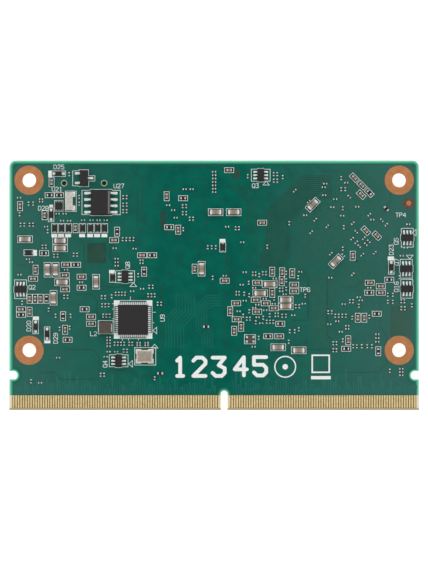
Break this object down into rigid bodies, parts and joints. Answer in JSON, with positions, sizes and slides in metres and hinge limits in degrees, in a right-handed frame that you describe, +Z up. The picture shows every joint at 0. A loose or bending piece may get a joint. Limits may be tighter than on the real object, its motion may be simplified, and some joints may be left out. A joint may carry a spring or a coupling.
{
  "type": "system on module",
  "caption": "Flat card-edge computer module: green board with a keyed gold contact edge, plated mounting holes and small surface-mount parts, with the processor underneath.",
  "frame": {"origin": "middle of the board's outline, on the surface that the module lies on", "axes": "+X along the card edge, +Y from the card edge to the far edge, +Z up, out of the secondary side that carries the small parts"},
  "size_m": [0.082, 0.05, 0.0047],
  "materials": {
    "solder_mask_board": "semi-gloss solder mask on laminate",
    "bare_copper": "satin protected copper",
    "contact_gold": "polished gold plating",
    "mould_compound": "matt black epoxy moulding",
    "tinned_metal": "bright tin",
    "solder": "satin solder",
    "alumina": "fired alumina",
    "plated_lid": "satin plated lid",
    "ferrite": "matt ferrite",
    "tan_ceramic": "satin fired ceramic",
    "pink_ceramic": "satin fired ceramic",
    "resistor_glaze": "black overglaze",
    "substrate": "solder mask on substrate",
    "silicon": "polished silicon",
    "header_plastic": "black moulded liquid crystal polymer"
  },
  "bodies": {
    "root": {"board": "solder_mask_board", "mounting_hole_plating": "bare_copper", "fiducial_pad": "bare_copper", "peg_hole_rings": "bare_copper", "secondary_edge_contacts": "contact_gold", "primary_edge_contacts": "contact_gold", "controller_body": "mould_compound", "flash_body": "mould_compound", "dual_transistor_bodies": "mould_compound", "regulator_body": "mould_compound", "load_switch_body": "mould_compound", "diode_bodies": "mould_compound", "small_diode_bodies": "mould_compound", "memory_packages": "mould_compound", "storage_package": "mould_compound", "power_manager_body": "mould_compound", "network_chip_bodies": "mould_compound", "bulk_capacitor_bodies": "mould_compound", "controller_terminals": "tinned_metal", "flash_leads": "tinned_metal", "dual_transistor_leads": "tinned_metal", "regulator_leads": "tinned_metal", "clock_crystal_pads": "tinned_metal", "choke_terminals": "tinned_metal", "load_switch_terminals": "tinned_metal", "bead_array_terminals": "tinned_metal", "diode_leads": "tinned_metal", "small_diode_leads": "tinned_metal", "large_capacitor_terminals": "tinned_metal", "chip_terminals": "tinned_metal", "micro_chip_terminals": "tinned_metal", "power_manager_terminals": "tinned_metal", "power_inductor_terminals": "tinned_metal", "network_chip_terminals": "tinned_metal", "bulk_capacitor_terminals": "tinned_metal", "debug_header_pins": "tinned_metal", "primary_capacitor_terminals": "tinned_metal", "processor_solder_balls": "solder", "memory_solder_balls": "solder", "storage_solder_balls": "solder", "oscillator_base": "alumina", "oscillator_pads": "alumina", "clock_crystal_base": "alumina", "oscillator_lid": "plated_lid", "clock_crystal_lid": "plated_lid", "choke_core": "ferrite", "power_inductor_cores": "ferrite", "large_capacitor_bodies": "tan_ceramic", "capacitor_bodies": "tan_ceramic", "micro_chip_bodies": "tan_ceramic", "primary_capacitor_bodies": "tan_ceramic", "precision_capacitor_bodies": "pink_ceramic", "bead_array_body": "pink_ceramic", "resistor_bodies": "resistor_glaze", "processor_substrate": "substrate", "processor_die": "silicon", "debug_header_housing": "header_plastic"}
  },
  "joints": []
}
